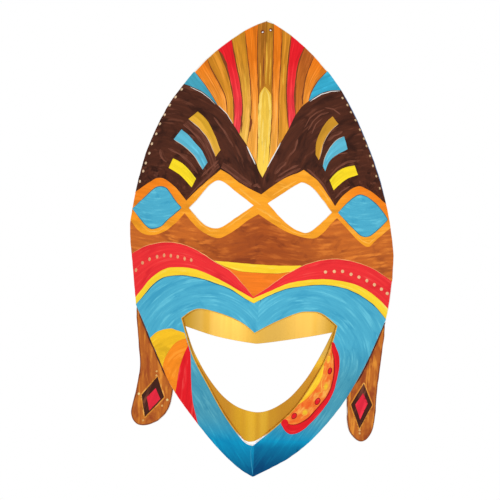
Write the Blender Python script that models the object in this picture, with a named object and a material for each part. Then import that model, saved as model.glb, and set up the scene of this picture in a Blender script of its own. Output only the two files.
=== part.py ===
"""Painted card mask, built as a domed face sheet with a gilt mouth plate and two ears glued behind it.

Metres, +Z up, the face looks along -Y. The origin is midway between the two hanging holes, on the
back of the face sheet. Outlines are drawn in millimetres as seen from the front, with the chin tip
at X 0, Z 0, and are then laid on the domed surface.
"""

import math

import bpy
from mathutils import Vector
from mathutils.geometry import delaunay_2d_cdt

# Driving dimensions, in millimetres
HEIGHT = 380.0  # chin tip to crown tip
SHEET = 1.5  # thickness of the face card
EAR = 1.5  # thickness of the ear card
PLATE = 0.8  # thickness of the gilt card behind the mouth
GLUE = 0.3  # glue line between two lapped pieces
BEND_R = 165.0  # radius of the bend about the vertical
CROWN_FROM, CROWN_BACK = 235.0, 30.0  # the crown sweeps back above this height, by this much
CHIN_FROM, CHIN_BACK = 150.0, 22.0  # the chin sweeps back below this height, by this much
CHIN_FOLD, CHIN_FOLD_TOP = 0.35, 110.0  # side slope of the centre fold at the chin tip, and its top
CROWN_FOLD, CROWN_FOLD_FOOT = 0.12, 300.0  # the same for the crown, and the height it fades out at
FOLD_SOFT, FOLD_REACH = 1.5, 30.0  # rounding of the folds, and how far they act to each side
HOLE_R = 1.0  # hanging holes
HOLES = ((-4.3, 370.0), (2.4, 371.8))
HANG = (-1.0, 371.0)  # midway between the hanging holes

# Outlines, in millimetres as seen from the front
FACE_RIGHT = [(0, 380), (23, 365.5), (50.4, 339.8), (72.5, 307.7), (92, 265.7), (103.4, 230.6),
              (110, 197), (111, 178), (109.5, 151.5), (106.5, 134.5)]
JAW_RIGHT = [(106.5, 134.5), (91, 97), (76.5, 69.5), (65, 52.5), (48, 32.5), (28.5, 16), (0, 0)]
JAW_LEFT = [(0, 0), (-12, 7), (-29.5, 22.5), (-48, 43.5), (-68, 69.5), (-77.5, 87.5), (-102, 140)]
FACE_LEFT = [(-102, 140), (-104.5, 161), (-109, 200), (-107.5, 221), (-102.5, 248.5), (-94.6, 276),
             (-79.8, 307.7), (-58.9, 336.6), (-42, 353.5), (-19, 371), (0, 380)]
EYE_LEFT_TOP = [(-60.5, 221.5), (-54, 228.5), (-43, 242), (-34.5, 244.8), (-21, 235.6), (-7, 225.4)]
EYE_LEFT_LOW = [(-7, 225.4), (-21.5, 214.8), (-32.8, 206.8), (-41, 205.9), (-48.9, 209.8), (-60.5, 221.5)]
EYE_RIGHT_TOP = [(4.9, 227.6), (14.2, 234.1), (28.3, 243.7), (33.8, 245.6), (43, 240.3), (58.3, 222)]
EYE_RIGHT_LOW = [(58.3, 222), (48.8, 212.1), (40.5, 205.3), (33, 205), (20.7, 211.8), (4.9, 227.6)]
LIP_LEFT = [(-63.4, 130), (-54.5, 136.6), (-45, 137.9), (-25.5, 133), (-12, 126.9), (-2.6, 119.5)]
LIP_RIGHT = [(-2.6, 119.5), (12.5, 128.2), (31.5, 136.8), (42, 138.7), (53, 137.3), (65.7, 127.8)]
MOUTH_RIGHT = [(65.7, 127.8), (61.5, 111.5), (53.5, 91.5), (37, 63.5), (22, 46.5), (-1, 26.4)]
MOUTH_LEFT = [(-1, 26.4), (-9, 30.3), (-25, 50.6), (-40, 75.5), (-53.5, 100), (-63.4, 130)]
SMILE_TOP = [(-60.9, 123.4), (-34.5, 115.8), (-6, 111.3), (6, 111.6), (42.5, 117.9), (62.7, 122.2)]
SMILE_LOW = [(62.7, 122.2), (57, 109.6), (50.5, 97), (43, 84), (33, 71), (24, 62.6), (12.5, 55.9),
             (1.5, 53.7), (-11, 56), (-21, 61), (-30.6, 69.3), (-40.6, 81.7), (-48, 93.5), (-54.5, 106),
             (-60.9, 123.4)]
PLATE_TOP = [(-75, 129), (-66, 142), (-46, 148), (-24, 143), (-2.6, 132), (12, 138), (34, 148),
             (50, 148), (67, 139), (77, 124)]
PLATE_RIGHT = [(77, 124), (72, 106), (63, 86), (46, 57), (33, 45.5), (20, 42), (10, 35.3),
               (1.5, 30), (-5, 28.8)]
PLATE_LEFT = [(-5, 28.8), (-11, 31.5), (-24, 40), (-36, 56), (-51, 80), (-65, 105), (-75, 129)]
EAR_LEFT_OUT = [(-98, 147), (-102.4, 136), (-99.8, 108), (-98, 89), (-100.5, 69.5), (-104.3, 50),
                (-100, 40.7), (-92.5, 39.2), (-82.5, 42.7), (-75.5, 49.3), (-71.3, 58), (-69.5, 70.5)]
EAR_LEFT_IN = [(-69.5, 70.5), (-59, 73), (-67, 92), (-79, 117), (-90, 142), (-98, 147)]
EAR_RIGHT_OUT = [(101, 146), (106.8, 130), (104.8, 102), (102.4, 77), (101.3, 54), (99.5, 41.5),
                 (94, 33), (87.5, 32), (80.8, 38.5), (78, 46.5), (77.2, 58.5), (76.7, 68.5)]
EAR_RIGHT_IN = [(76.7, 68.5), (66.5, 72.5), (80, 100), (93, 134), (101, 146)]

STEP = 5.0  # spacing of points along an outline
COLUMNS = [0, 2, 4.5, 8, 14] + list(range(22, 118, 9))
ROW = 11.0


def fall(x, z):
    """How far the front of the face sheet lies behind its foremost point."""
    bend = BEND_R - math.sqrt(BEND_R**2 - x * x)
    crown = CROWN_BACK * max(0.0, (z - CROWN_FROM) / (HEIGHT - CROWN_FROM)) ** 2
    chin = CHIN_BACK * max(0.0, 1 - z / CHIN_FROM) ** 2
    slope = CHIN_FOLD * max(0.0, 1 - z / CHIN_FOLD_TOP) ** 2
    slope += CROWN_FOLD * max(0.0, (z - CROWN_FOLD_FOOT) / (HEIGHT - CROWN_FOLD_FOOT)) ** 2
    fold = FOLD_REACH * math.tanh((math.hypot(x, FOLD_SOFT) - FOLD_SOFT) / FOLD_REACH)
    return bend + crown + chin + slope * fold


def on_surface(x, z, below):
    """The point this far below the front of the face sheet, square to it, in mm."""
    d = 0.01
    slope_x = (fall(x + d, z) - fall(x - d, z)) / (2 * d)
    slope_z = (fall(x, z + d) - fall(x, z - d)) / (2 * d)
    normal = Vector((slope_x, -1, slope_z)).normalized()
    return Vector((x, fall(x, z), z)) - below * normal


def smooth(points):
    """Points STEP apart along a smooth line through the given ones, without the last."""
    line = []
    ends = [points[0]] + points + [points[-1]]
    for a, b, c, d in zip(ends, ends[1:], ends[2:], ends[3:]):
        count = max(1, round(math.dist(b, c) / STEP))
        for i in range(count):
            t = i / count
            line.append([0.5 * (2 * q + (r - p) * t + (2 * p - 5 * q + 4 * r - s) * t**2
                                + (3 * q - p - 3 * r + s) * t**3)
                         for p, q, r, s in zip(a, b, c, d)])
    return line


def loop(*lines):
    return [point for line in lines for point in smooth(line)]


def round_hole(x, z):
    turns = [math.radians(36 * i) for i in range(10)]
    return [[x + HOLE_R * math.cos(a), z + HOLE_R * math.sin(a)] for a in turns]


def inside(x, z, ring):
    found = False
    for (ax, az), (bx, bz) in zip(ring, ring[1:] + ring[:1]):
        if (az > z) != (bz > z) and x < ax + (bx - ax) * (z - az) / (bz - az):
            found = not found
    return found


def on_card(x, z, outer, holes):
    return inside(x, z, outer) and not any(inside(x, z, hole) for hole in holes)


def card(name, outer, holes, front, thick, colour, metal=0.0):
    """A closed sheet that follows the dome, its front this far below the face sheet's front."""
    rings = [outer] + holes
    points, edges = [], []
    for ring in rings:
        first = len(points)
        points += ring
        edges += [(first + i, first + (i + 1) % len(ring)) for i in range(len(ring))]
    rim = list(points)
    xs = sorted({side * x for x in COLUMNS for side in (-1, 1)})
    for x in xs:
        for row in range(1, int(HEIGHT / ROW) + 1):
            z = row * ROW
            if on_card(x, z, outer, holes) and min(math.dist((x, z), p) for p in rim) > 0.6 * STEP:
                points.append([x, z])
    flat, _, triangles, *_ = delaunay_2d_cdt([Vector(p) for p in points], edges, [], 0, 1e-5)
    kept = []
    for tri in triangles:
        x, z = sum((flat[i] for i in tri), Vector((0, 0))) / 3
        if on_card(x, z, outer, holes):
            kept.append(list(tri))
    count = len(flat)
    centre = on_surface(*HANG, SHEET)
    corners = [on_surface(p.x, p.y, front) - centre for p in flat]
    corners += [on_surface(p.x, p.y, front + thick) - centre for p in flat]
    sides = {(a, b) for tri in kept for a, b in zip(tri, tri[1:] + tri[:1])}
    faces = kept + [[i + count for i in reversed(tri)] for tri in kept]
    faces += [[b, a, a + count, b + count] for a, b in sides if (b, a) not in sides]
    mesh = bpy.data.meshes.new(name)
    mesh.from_pydata([0.001 * c for c in corners], [], faces)
    obj = bpy.data.objects.new(name, mesh)
    bpy.context.scene.collection.objects.link(obj)
    paint = bpy.data.materials.new(name)
    paint.use_nodes = True
    shader = paint.node_tree.nodes["Principled BSDF"]
    shader.inputs["Base Color"].default_value = (*colour, 1)
    shader.inputs["Metallic"].default_value = metal
    shader.inputs["Roughness"].default_value = 0.35 if metal else 0.6
    mesh.materials.append(paint)
    return obj


for old in list(bpy.data.objects):
    bpy.data.objects.remove(old)

mouth = loop(LIP_LEFT, LIP_RIGHT, MOUTH_RIGHT, MOUTH_LEFT)
eyes = [loop(EYE_LEFT_TOP, EYE_LEFT_LOW), loop(EYE_RIGHT_TOP, EYE_RIGHT_LOW)]
hanging = [round_hole(x, z) for x, z in HOLES]

# The face sheet has the eye and mouth openings and the two hanging holes cut through it.
card("face_sheet", loop(FACE_RIGHT, JAW_RIGHT, JAW_LEFT, FACE_LEFT), eyes + [mouth] + hanging,
     0.0, SHEET, (0.16, 0.05, 0.03))

# The gilt plate is lapped behind the mouth opening and leaves a slot open under its lower tip.
card("lip_plate", loop(PLATE_TOP, PLATE_RIGHT, PLATE_LEFT), [loop(SMILE_TOP, SMILE_LOW)],
     SHEET + GLUE, PLATE, (0.80, 0.50, 0.12), metal=0.8)

# Each ear is lapped behind the jaw edge and hangs free below it.
card("left_ear", loop(EAR_LEFT_OUT, EAR_LEFT_IN), [], SHEET + GLUE, EAR, (0.50, 0.17, 0.05))
card("right_ear", loop(EAR_RIGHT_OUT, EAR_RIGHT_IN), [], SHEET + GLUE, EAR, (0.50, 0.17, 0.05))
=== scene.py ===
"""Looks of the painted card mask: white-primed card, acrylic paint in thin films, a gilt mouth plate.

Shapes are drawn in millimetres as seen from the front, with the chin tip at X 0, Z 0, and are laid
on the same domed surface as the CAD, a given height above the front of the face sheet.
"""

import math

import bpy
import numpy as np
from mathutils import Matrix, Vector, noise
from mathutils.geometry import delaunay_2d_cdt


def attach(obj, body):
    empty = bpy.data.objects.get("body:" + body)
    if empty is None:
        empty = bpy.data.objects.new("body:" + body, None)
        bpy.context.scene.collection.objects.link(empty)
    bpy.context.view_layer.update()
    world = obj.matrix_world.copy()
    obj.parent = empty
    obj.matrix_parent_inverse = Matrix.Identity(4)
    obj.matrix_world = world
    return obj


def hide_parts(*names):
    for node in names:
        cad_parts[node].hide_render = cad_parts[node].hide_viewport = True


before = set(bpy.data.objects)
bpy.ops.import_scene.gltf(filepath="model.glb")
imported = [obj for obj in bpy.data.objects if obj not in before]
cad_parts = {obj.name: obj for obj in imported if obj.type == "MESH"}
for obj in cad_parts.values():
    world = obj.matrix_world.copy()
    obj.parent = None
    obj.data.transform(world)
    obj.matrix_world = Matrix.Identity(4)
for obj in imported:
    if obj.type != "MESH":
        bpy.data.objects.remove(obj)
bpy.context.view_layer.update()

# The domed surface, the same as in the CAD
HEIGHT = 380.0
BEND_R = 165.0
CROWN_FROM, CROWN_BACK = 235.0, 30.0
CHIN_FROM, CHIN_BACK = 150.0, 22.0
CHIN_FOLD, CHIN_FOLD_TOP = 0.35, 110.0
CROWN_FOLD, CROWN_FOLD_FOOT = 0.12, 300.0
FOLD_SOFT, FOLD_REACH = 1.5, 30.0
SHEET, PLATE, GLUE = 1.5, 0.8, 0.3
HANG = (-1.0, 371.0)
HOLES = ((-4.3, 370.0), (2.4, 371.8))

LINE_STEP = 1.6  # spacing of points along an outline
MESH_STEP = 3.2  # spacing of points inside an area
OVAL_SIDES = 14  # corners of a round or oval dab
SUNK = -0.04  # how far a paint film reaches into the card below it
SHAKE, WAVE = 0.22, 4.5  # how far a painted edge wanders, and over what length
UV_UNIT = 100  # millimetres in one unit of the stroke map
ASIDE = 400  # sets the strokes of the left side apart from those of the right
LIP_X, LIP_Z = 42, 100  # the middle of the arcs over each side of the lips
JAW_TURN = -0.57  # the angle at which those arcs run out into the jaw


def fall(x, z):
    """How far the front of the face sheet lies behind its foremost point."""
    bend = BEND_R - np.sqrt(BEND_R**2 - x * x)
    crown = CROWN_BACK * np.maximum(0, (z - CROWN_FROM) / (HEIGHT - CROWN_FROM)) ** 2
    chin = CHIN_BACK * np.maximum(0, 1 - z / CHIN_FROM) ** 2
    slope = CHIN_FOLD * np.maximum(0, 1 - z / CHIN_FOLD_TOP) ** 2
    slope = slope + CROWN_FOLD * np.maximum(
        0, (z - CROWN_FOLD_FOOT) / (HEIGHT - CROWN_FOLD_FOOT)) ** 2
    fold = FOLD_REACH * np.tanh((np.hypot(x, FOLD_SOFT) - FOLD_SOFT) / FOLD_REACH)
    return bend + crown + chin + slope * fold


def lay(flat, height):
    """Points this far above the front of the face sheet, square to it, in mm."""
    x, z = flat[:, 0], flat[:, 1]
    d = 0.01
    slope_x = (fall(x + d, z) - fall(x - d, z)) / (2 * d)
    slope_z = (fall(x, z + d) - fall(x, z - d)) / (2 * d)
    normal = np.stack([slope_x, -np.ones(len(x)), slope_z], axis=1)
    normal /= np.linalg.norm(normal, axis=1)[:, None]
    return np.stack([x, fall(x, z), z], axis=1) + height * normal


CENTRE = lay(np.array([HANG]), -SHEET)[0]


def smooth(points):
    """A smooth line through the points, ends included. A point given twice is a sharp corner."""
    line = [tuple(points[0])]
    ends = [points[0], *points, points[-1]]
    for a, b, c, d in zip(ends, ends[1:], ends[2:], ends[3:]):
        count = math.ceil(math.dist(b, c) / LINE_STEP)
        for i in range(1, count + 1):
            t = i / count
            line.append(tuple(0.5 * (2 * q + (r - p) * t + (2 * p - 5 * q + 4 * r - s) * t**2
                                     + (3 * q - p - 3 * r + s) * t**3)
                              for p, q, r, s in zip(a, b, c, d)))
    return line


def ring(*lines):
    """One closed outline from smooth lines laid end to end, with no long straight edges."""
    points = [p for line in lines for p in line]
    kept = []
    for p, q in zip(points, points[1:] + points[:1]):
        far = math.dist(p, q)
        if far > 0.05:
            count = max(1, round(far / LINE_STEP))
            kept += [(p[0] + (q[0] - p[0]) * i / count, p[1] + (q[1] - p[1]) * i / count)
                     for i in range(count)]
    return kept


def spaced(line, count):
    """The line as count + 1 points, evenly spaced along it."""
    line = np.array(line, dtype=float)
    far = np.concatenate([[0], np.cumsum(np.linalg.norm(np.diff(line, axis=0), axis=1))])
    at = np.linspace(0, far[-1], count + 1)
    return np.stack([np.interp(at, far, line[:, 0]), np.interp(at, far, line[:, 1])], axis=1)


def length(line):
    return sum(math.dist(a, b) for a, b in zip(line, line[1:]))


def part_of(line, start, end):
    """The stretch of a line between two heights, in the order asked for."""
    line = np.array(line if line[0][1] < line[-1][1] else line[::-1])
    heights = np.linspace(start, end, 2 + int(abs(end - start) / LINE_STEP))
    return [(float(np.interp(z, line[:, 1], line[:, 0])), float(z)) for z in heights]


def shifted(line, distance):
    """The line moved sideways, to the right of its direction when distance is positive."""
    line = np.array(line, dtype=float)
    way = np.gradient(line, axis=0)
    way /= np.maximum(np.linalg.norm(way, axis=1), 1e-9)[:, None]
    distance = np.asarray(distance, dtype=float).reshape(-1, 1)
    return line + distance * np.stack([way[:, 1], -way[:, 0]], axis=1)


def inside(points, outline):
    x, z = points[:, 0], points[:, 1]
    found = np.zeros(len(points), dtype=bool)
    outline = np.array(outline)
    for (ax, az), (bx, bz) in zip(outline, np.roll(outline, -1, axis=0)):
        if az != bz:
            crosses = (az > z) != (bz > z)
            found ^= crosses & (x < ax + (bx - ax) * (z - az) / (bz - az))
    return found


def area(outline, holes=(), step=MESH_STEP):
    """(points, faces) that fill an outline, leaving its holes open."""
    rings = [outline, *holes]
    points, edges = [], []
    for one in rings:
        first = len(points)
        points += [tuple(p) for p in one]
        edges += [(first + i, first + (i + 1) % len(one)) for i in range(len(one))]
    rim = np.array(points)
    xs = np.arange(rim[:, 0].min() // step * step, rim[:, 0].max(), step)
    near = np.array([-1.2, -0.5, 0.5, 1.2, 2.2, -2.2])  # finer along the folds
    grid = [(x, z) for x in np.concatenate([xs, near])
            for z in np.arange(rim[:, 1].min() // step * step, rim[:, 1].max(), step)]
    grid = np.array(grid)
    kept = inside(grid, outline)
    for hole in holes:
        kept &= ~inside(grid, hole)
    grid = grid[kept]
    if len(grid):
        gap = np.min([np.hypot(*(grid - p).T) for p in rim], axis=0)
        points += [tuple(p) for p in grid[gap > 0.5 * LINE_STEP]]
    flat, _, triangles, *_ = delaunay_2d_cdt([Vector(p) for p in points], edges, [], 0, 1e-5)
    flat = np.array([tuple(p) for p in flat])
    middle = np.array([flat[list(t)].mean(axis=0) for t in triangles])
    kept = inside(middle, outline)
    for hole in holes:
        kept &= ~inside(middle, hole)
    faces = [tuple(t) for t, k in zip(triangles, kept) if k]
    return flat, faces, None


def band(side_a, side_b, step=MESH_STEP):
    """(points, faces, strokes) of the strip between two lines that run the same way."""
    long = max(length(side_a), length(side_b))
    count = max(3, math.ceil(long / min(step, 2.2)))
    a, b = spaced(side_a, count), spaced(side_b, count)
    wide = float(np.linalg.norm(a - b, axis=1).max())
    rows = max(1, math.ceil(wide / step))
    points, strokes, faces = [], [], []
    for i in range(count + 1):
        for j in range(rows + 1):
            t = j / rows
            points.append(a[i] * (1 - t) + b[i] * t)
            strokes.append((long * i / count, wide * t))
    for i in range(count):
        for j in range(rows):
            k = i * (rows + 1) + j
            faces.append((k, k + 1, k + rows + 2, k + rows + 1))
    # A pointed end closes on one point, so its faces are triangles there.
    flat = np.array(points)
    index = np.unique(np.round(flat, 3), axis=0, return_inverse=True)[1].reshape(-1)
    first = {}
    for i, r in enumerate(index):
        first.setdefault(int(r), i)
    order = sorted(first.values())
    renumber = {old: new for new, old in enumerate(order)}
    closed = []
    for face in faces:
        corners = []
        for c in face:
            c = renumber[first[int(index[c])]]
            if c not in corners:
                corners.append(c)
        if len(corners) > 2:
            closed.append(tuple(corners))
    return flat[order], closed, np.array(strokes)[order]


def ribbon(line, width, ends=0.15):
    """A stroke along a line, this wide in the middle and running out to a point at its ends."""
    count = max(4, math.ceil(length(line) / 1.4))
    line = spaced(line, count)
    t = np.linspace(0, 1, count + 1)
    run = np.clip(np.minimum(t, 1 - t) / max(ends, 1e-6), 0, 1) ** 0.5 if ends else np.ones(len(t))
    vary = [1 + 0.45 * noise.noise(Vector((p[0] / 6, p[1] / 6, 8.1))) for p in line]
    half = 0.5 * width * np.maximum(run, 0.04) * vary
    return band(shifted(line, half).tolist(), shifted(line, -half).tolist(), step=1.4)


def ribbons(*strokes, ends):
    """Several ribbons, each given as its line and its width."""
    return [ribbon(line, width, ends) for line, width in strokes]


def oval(x, z, rx, rz, turn=0.0):
    """A small round or oval dab, as rings that close on its middle."""
    points, faces = [(x, z)], []
    count = OVAL_SIDES
    turn = math.radians(turn)
    for r in (0.45, 0.8, 1.0):
        for i in range(count):
            a = 2 * math.pi * i / count
            u, v = r * rx * math.cos(a), r * rz * math.sin(a)
            points.append((x + u * math.cos(turn) - v * math.sin(turn),
                           z + u * math.sin(turn) + v * math.cos(turn)))
    for i in range(count):
        j = (i + 1) % count
        faces.append((0, 1 + i, 1 + j))
        for k in (0, count):
            faces.append((1 + k + i, 1 + k + count + i, 1 + k + count + j, 1 + k + j))
    return np.array(points), faces, None


def hand(flat):
    """The small unsteadiness of a painted edge, the same for every film that shares it."""
    moved = []
    for x, z in flat:
        p = Vector((x / WAVE, z / WAVE, 3.7))
        moved.append((x + SHAKE * noise.noise(p), z + SHAKE * noise.noise(p + Vector((9, 5, 2)))))
    return np.array(moved)


def solid(shape, profile, crown=None):
    """(points, faces, sharp edges) of a closed sheet. The profile is (height, spread) from front to
    back: how far above the face sheet, and how far outside the drawn outline. crown raises the
    inside of a dab by this much."""
    flat, faces, _ = shape
    twice = sum(flat[f[i - 1]][0] * flat[f[i]][1] - flat[f[i]][0] * flat[f[i - 1]][1]
                for f in faces for i in range(len(f)))
    if twice < 0:
        faces = [f[::-1] for f in faces]
    edges = {(a, b) for f in faces for a, b in zip(f, f[1:] + f[:1])}
    rim = sorted((a, b) for a, b in edges if (b, a) not in edges)
    out = np.zeros((len(flat), 2))
    for a, b in rim:
        dx, dz = flat[b] - flat[a]
        step = np.array([dz, -dx]) / max(math.hypot(dx, dz), 1e-9)
        out[a] += step
        out[b] += step
    out /= np.maximum(np.linalg.norm(out, axis=1), 1e-9)[:, None]
    on_rim = sorted({a for a, _ in rim})
    place = {a: i for i, a in enumerate(on_rim)}
    (top, top_out), *middle, (low, low_out) = profile
    height = np.full(len(flat), float(top))
    if crown is not None:
        height = height + crown * (np.linalg.norm(out, axis=1) < 0.5)
    blocks = [lay(flat + top_out * out, height[:, None])]
    starts = [0]
    for h, spread in middle:
        starts.append(starts[-1] + len(blocks[-1]))
        blocks.append(lay((flat + spread * out)[on_rim], h))
    starts.append(starts[-1] + len(blocks[-1]))
    blocks.append(lay(flat + low_out * out, low))
    last = starts[-1]
    made = [tuple(f) for f in faces] + [tuple(last + i for i in f[::-1]) for f in faces]

    def number(block, i):
        return starts[block] + (i if block in (0, len(starts) - 1) else place[i])

    sharp = []
    for a, b in rim:
        for k in range(len(starts) - 1):
            made.append((number(k, b), number(k, a), number(k + 1, a), number(k + 1, b)))
        sharp += [(number(0, a), number(0, b)), (last + a, last + b)]
    source = list(range(len(flat))) + on_rim * len(middle) + list(range(len(flat)))
    return np.concatenate(blocks), made, sharp, source


def piece(name, shapes, profile, material, slot, strokes=None, tone=None, crown=None,
          steady=False, node=None):
    """One named object from one or more shapes, each a closed sheet with the same profile."""
    points, faces, sharp, uvs, tones = [], [], [], [], []
    for shape in shapes:
        flat, _, along = shape
        if not steady:
            shape = (hand(flat), shape[1], along)
        made, more, edges, source = solid(shape, profile, crown)
        start = len(points)
        points += [tuple(p) for p in 0.001 * (made - CENTRE)]
        faces += [tuple(start + i for i in f) for f in more]
        sharp += [frozenset((start + a, start + b)) for a, b in edges]
        if along is None or strokes is not None:
            along = np.array([(strokes or straight(0))(x, z) for x, z in flat])
        uvs += [tuple(along[i]) for i in source]
        tones += [float(tone(*flat[i])) if tone else 0.0 for i in source]
    mesh = bpy.data.meshes.new(name)
    mesh.from_pydata(points, [], faces)
    layer = mesh.uv_layers.new(name="Stroke")
    for loop in mesh.loops:
        layer.data[loop.index].uv = [c / UV_UNIT for c in uvs[loop.vertex_index]]
    mesh.attributes.new("tone", "FLOAT", "POINT").data.foreach_set("value", tones)
    mesh.polygons.foreach_set("use_smooth", [True] * len(mesh.polygons))
    sharp = set(sharp)
    for edge in mesh.edges:
        edge.use_edge_sharp = frozenset(edge.vertices) in sharp
    mesh.materials.append(material)
    obj = bpy.data.objects.new(name, mesh)
    bpy.context.scene.collection.objects.link(obj)
    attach(obj, "root")
    if node:
        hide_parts(node)
    return obj


def straight(angle):
    """Stroke direction for an area painted along one line, in degrees from +X."""
    c, s = math.cos(math.radians(angle)), math.sin(math.radians(angle))
    return lambda x, z: (x * c + z * s, z * c - x * s)


def waved(x, z):
    """Strokes that rise and fall a little across the cheeks."""
    return x, z + 5 * math.sin(abs(x) / 26)


def around(cx, cz, mirrored=False):
    """Stroke direction for an area painted in arcs about a point."""
    def found(x, z):
        dx, dz = (abs(x) if mirrored else x) - cx, z - cz
        return 60 * math.atan2(dz, dx) + (ASIDE if mirrored and x < 0 else 0), math.hypot(dx, dz)
    return found


def lips_and_jaw(x, z):
    """Strokes in arcs over each side of the lips, then straight down the jaw beside the mouth."""
    u, v = abs(x) - LIP_X, z - LIP_Z
    turn = math.atan2(v, u)
    aside = ASIDE if x < 0 else 0
    if turn < JAW_TURN:
        return 0.54 * u + 0.84 * v + aside, 0.84 * u - 0.54 * v
    return 45 * (turn - JAW_TURN) + aside, math.hypot(u, v)


# Materials

def node(tree, kind, **values):
    """A new node, where a value is an input if the node has one of that name."""
    made = tree.nodes.new(kind)
    for key, value in values.items():
        if key in made.inputs:
            made.inputs[key].default_value = value
        else:
            setattr(made, key, value)
    return made


def mixed(tree, factor, a, b, blend="MIX"):
    """The colour output of a mix, where a, b and the factor are sockets or plain values."""
    mix = node(tree, "ShaderNodeMix", data_type="RGBA", blend_type=blend)
    for socket, value in ((0, factor), (6, a), (7, b)):
        if isinstance(value, bpy.types.NodeSocket):
            tree.links.new(value, mix.inputs[socket])
        elif socket == 0:
            mix.inputs[0].default_value = value
        else:
            mix.inputs[socket].default_value = (*value, 1)
    return mix.outputs[2]


def ranged(tree, value, low, high, to_low=0.0, to_high=1.0):
    """A value mapped from one range to another, softly."""
    made = node(tree, "ShaderNodeMapRange", interpolation_type="SMOOTHSTEP")
    tree.links.new(value, made.inputs["Value"])
    for key, number in (("From Min", low), ("From Max", high), ("To Min", to_low),
                        ("To Max", to_high)):
        made.inputs[key].default_value = number
    return made.outputs["Result"]


def streaks(tree, along, across, detail=5.0, seed=0.0, distort=0.0):
    """Noise drawn out along the strokes. along and across are its size in millimetres."""
    uv = node(tree, "ShaderNodeUVMap", uv_map="Stroke")
    place = node(tree, "ShaderNodeMapping")
    tree.links.new(uv.outputs[0], place.inputs["Vector"])
    place.inputs["Scale"].default_value = (UV_UNIT / along, UV_UNIT / across, 1)
    place.inputs["Location"].default_value = (seed, seed * 1.7, seed * 0.3)
    made = node(tree, "ShaderNodeTexNoise", Scale=1.0, Detail=detail, Roughness=0.6,
                Distortion=distort)
    tree.links.new(place.outputs[0], made.inputs["Vector"])
    return made.outputs[0]


def grain(tree, size, detail=3.0, seed=0.0):
    """Even noise of this size in millimetres."""
    where = node(tree, "ShaderNodeTexCoord")
    place = node(tree, "ShaderNodeMapping")
    tree.links.new(where.outputs["Object"], place.inputs["Vector"])
    place.inputs["Location"].default_value = (seed, seed, seed)
    made = node(tree, "ShaderNodeTexNoise", Scale=1000 / size, Detail=detail)
    tree.links.new(place.outputs[0], made.inputs["Vector"])
    return made.outputs[0]


def shader_of(name):
    """A new material with its node tree and its main shader."""
    material = bpy.data.materials.new(name)
    material.use_nodes = True
    tree = material.node_tree
    return material, tree, tree.nodes["Principled BSDF"]


def bumped(tree, shader, height, distance):
    """Gives the shader a relief from this height, this many metres deep."""
    bump = node(tree, "ShaderNodeBump", Distance=distance, Strength=1.0)
    tree.links.new(height, bump.inputs["Height"])
    tree.links.new(bump.outputs[0], shader.inputs["Normal"])


def paint(name, colour, second=None, later=(), light=None, dark=None, lights=0.4, darks=0.4,
          along=45, across=2.6, seed=1.0):
    """Brushed acrylic. second and later are the colours where the tone is 1, 2 and so on; light and
    dark are what the streaks run to, and lights and darks how much of the surface they take."""
    material, tree, shader = shader_of(name)
    second = second or colour
    light = light or tuple(min(1, c * 1.22 + 0.015) for c in colour)
    dark = dark or tuple(c * 0.72 for c in colour)
    tone = node(tree, "ShaderNodeAttribute", attribute_name="tone").outputs["Fac"]
    base = mixed(tree, tone, colour, second)
    for place, shade in enumerate(later, 1):
        base = mixed(tree, ranged(tree, tone, place, place + 1), base, shade)
    light, dark = (mixed(tree, 1.0, base, tuple(s / c for s, c in zip(streak, colour)), "MULTIPLY")
                   for streak in (light, dark))
    fine = streaks(tree, along, across, seed=seed)
    broad = streaks(tree, along * 0.8, across * 4.5, detail=3, seed=seed + 7, distort=0.6)
    base = mixed(tree, ranged(tree, broad, 0.6 - 0.25 * darks, 0.68, 0, min(1, darks * 2)),
                 base, dark)
    both = node(tree, "ShaderNodeMath", operation="MULTIPLY")
    tree.links.new(fine, both.inputs[0])
    tree.links.new(streaks(tree, along * 0.5, across * 2.2, detail=2, seed=seed + 3), both.inputs[1])
    base = mixed(tree, ranged(tree, both.outputs[0], 0.36 - 0.22 * lights, 0.40, 0,
                              min(1, lights * 2)), base, light)
    base = mixed(tree, ranged(tree, fine, 0.36, 0.62, 0.42, 0.0), base, dark)
    tree.links.new(base, shader.inputs["Base Color"])
    tree.links.new(ranged(tree, fine, 0.3, 0.7, 0.42, 0.62), shader.inputs["Roughness"])
    shader.inputs["Specular IOR Level"].default_value = 0.06
    bumped(tree, shader, streaks(tree, 22, 0.9, detail=4, seed=seed + 11), 0.00008)
    return material


def card_material(name):
    """White-primed card: fine fibre, a faint warm mottle, and a matt face."""
    material, tree, shader = shader_of(name)
    fibre = grain(tree, 0.8, detail=6)
    mottle = grain(tree, 28, detail=4, seed=4)
    base = mixed(tree, ranged(tree, mottle, 0.35, 0.7), (0.90, 0.885, 0.85), (0.80, 0.775, 0.72))
    base = mixed(tree, ranged(tree, fibre, 0.35, 0.75, 0, 0.5), base, (0.70, 0.67, 0.61))
    tree.links.new(base, shader.inputs["Base Color"])
    tree.links.new(ranged(tree, fibre, 0.3, 0.7, 0.72, 0.92), shader.inputs["Roughness"])
    bumped(tree, shader, fibre, 0.00008)
    return material


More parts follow.
